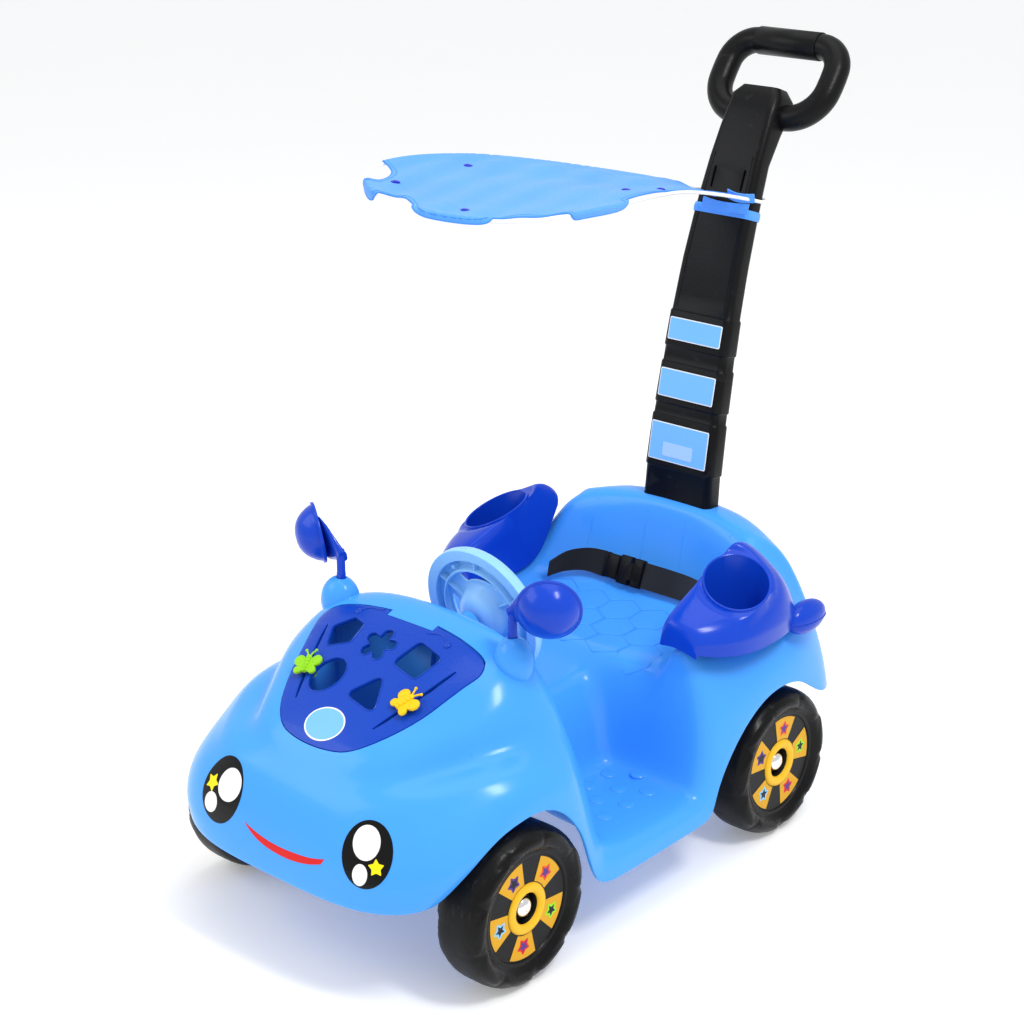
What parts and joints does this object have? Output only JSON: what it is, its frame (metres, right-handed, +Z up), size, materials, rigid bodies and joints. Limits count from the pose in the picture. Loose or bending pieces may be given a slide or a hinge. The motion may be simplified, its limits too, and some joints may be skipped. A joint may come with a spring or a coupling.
{
  "type": "kids ride-on push car",
  "caption": "Push-along ride-on car for a toddler, with moulded body, shape-sorter lid over a toy bin, play steering wheel, cup-well armrests, lap belt, push pole and wire-framed canopy.",
  "frame": {"origin": "centre of the whole car's bounding box, on the ground under the wheels", "axes": "+Z up, -Y forward, +X to the car's left side"},
  "size_m": [0.439, 0.8556, 0.8549],
  "materials": {
    "body_light_blue": "glossy blow-moulded plastic",
    "trim_royal_blue": "glossy moulded plastic",
    "steering_pale_blue": "glossy moulded plastic",
    "black_plastic": "satin black plastic",
    "steel": "drawn steel rod",
    "chrome": "bright plated cap",
    "green_plastic": "glossy moulded plastic",
    "yellow_plastic": "glossy moulded plastic",
    "canopy_cloth": "woven light blue cloth",
    "white_wire": "white coated wire",
    "snap_blue": "dark blue press stud",
    "black_webbing": "woven black webbing",
    "label_film": "plain light blue label"
  },
  "bodies": {
    "chassis": {"armrest_left": "trim_royal_blue", "armrest_right": "trim_royal_blue", "axle_cap_front_left": "chrome", "axle_cap_front_right": "chrome", "axle_cap_rear_left": "chrome", "axle_cap_rear_right": "chrome", "axle_spacer_front_left": "black_plastic", "axle_spacer_front_right": "black_plastic", "axle_spacer_rear_left": "black_plastic", "axle_spacer_rear_right": "black_plastic", "belt_strap_left": "black_webbing", "belt_strap_right": "black_webbing", "body_shell": "body_light_blue", "buckle_socket": "black_plastic", "buckle_tongue": "black_plastic", "canopy_cloth": "canopy_cloth", "canopy_hoop": "white_wire", "canopy_snap_1": "snap_blue", "canopy_snap_2": "snap_blue", "canopy_snap_3": "snap_blue", "canopy_snap_4": "snap_blue", "canopy_snap_5": "snap_blue", "canopy_strap": "canopy_cloth", "front_axle": "steel", "handle_grip": "black_plastic", "pole_label_1": "label_film", "pole_label_2": "label_film", "pole_label_3": "label_film", "push_handle": "black_plastic", "push_pole": "black_plastic", "rear_axle": "steel", "spindle_clip": "steel", "steering_spindle": "steel"},
    "lid": {"sorter_lid": "trim_royal_blue"},
    "left_slider": {"butterfly_left": "yellow_plastic", "butterfly_keeper_left": "yellow_plastic"},
    "right_slider": {"butterfly_right": "green_plastic", "butterfly_keeper_right": "green_plastic"},
    "left_mirror": {"mirror_left": "trim_royal_blue"},
    "right_mirror": {"mirror_right": "trim_royal_blue"},
    "hand_wheel": {"steering_wheel": "steering_pale_blue", "steering_cap": "trim_royal_blue"},
    "front_left_wheel": {"wheel_front_left": "black_plastic"},
    "front_right_wheel": {"wheel_front_right": "black_plastic"},
    "rear_left_wheel": {"wheel_rear_left": "black_plastic"},
    "rear_right_wheel": {"wheel_rear_right": "black_plastic"}
  },
  "joints": [
    {"name": "lid_hinge", "type": "hinge", "parent": "chassis", "child": "lid", "pos_m": [0, -0.22049, 0.31658], "axis": [-1, 0, 0], "range_deg": [0, 65]},
    {"name": "left_butterfly_slide", "type": "slide", "parent": "lid", "child": "left_slider", "axis": [0.3621, 0.8152, 0.4521], "range_m": [-0.036, 0.05]},
    {"name": "right_butterfly_slide", "type": "slide", "parent": "lid", "child": "right_slider", "axis": [-0.3621, 0.8152, 0.4521], "range_m": [-0.036, 0.05]},
    {"name": "left_mirror_swivel", "type": "hinge", "parent": "chassis", "child": "left_mirror", "pos_m": [0.1219, -0.203, 0.329], "axis": [0, 0, 1], "range_deg": [-25, 25]},
    {"name": "right_mirror_swivel", "type": "hinge", "parent": "chassis", "child": "right_mirror", "pos_m": [-0.1219, -0.203, 0.329], "axis": [0, 0, 1], "range_deg": [-25, 25]},
    {"name": "hand_wheel_spin", "type": "hinge", "parent": "chassis", "child": "hand_wheel", "pos_m": [0, -0.1162, 0.2931], "axis": [0, 0.9736, 0.2283], "continuous": true},
    {"name": "front_left_wheel_spin", "type": "hinge", "parent": "chassis", "child": "front_left_wheel", "pos_m": [0.1851, -0.276, 0.085], "axis": [1, 0, 0], "continuous": true},
    {"name": "front_right_wheel_spin", "type": "hinge", "parent": "chassis", "child": "front_right_wheel", "pos_m": [-0.1851, -0.276, 0.085], "axis": [1, 0, 0], "continuous": true},
    {"name": "rear_left_wheel_spin", "type": "hinge", "parent": "chassis", "child": "rear_left_wheel", "pos_m": [0.1851, 0.1553, 0.085], "axis": [1, 0, 0], "continuous": true},
    {"name": "rear_right_wheel_spin", "type": "hinge", "parent": "chassis", "child": "rear_right_wheel", "pos_m": [-0.1851, 0.1553, 0.085], "axis": [1, 0, 0], "continuous": true}
  ]
}
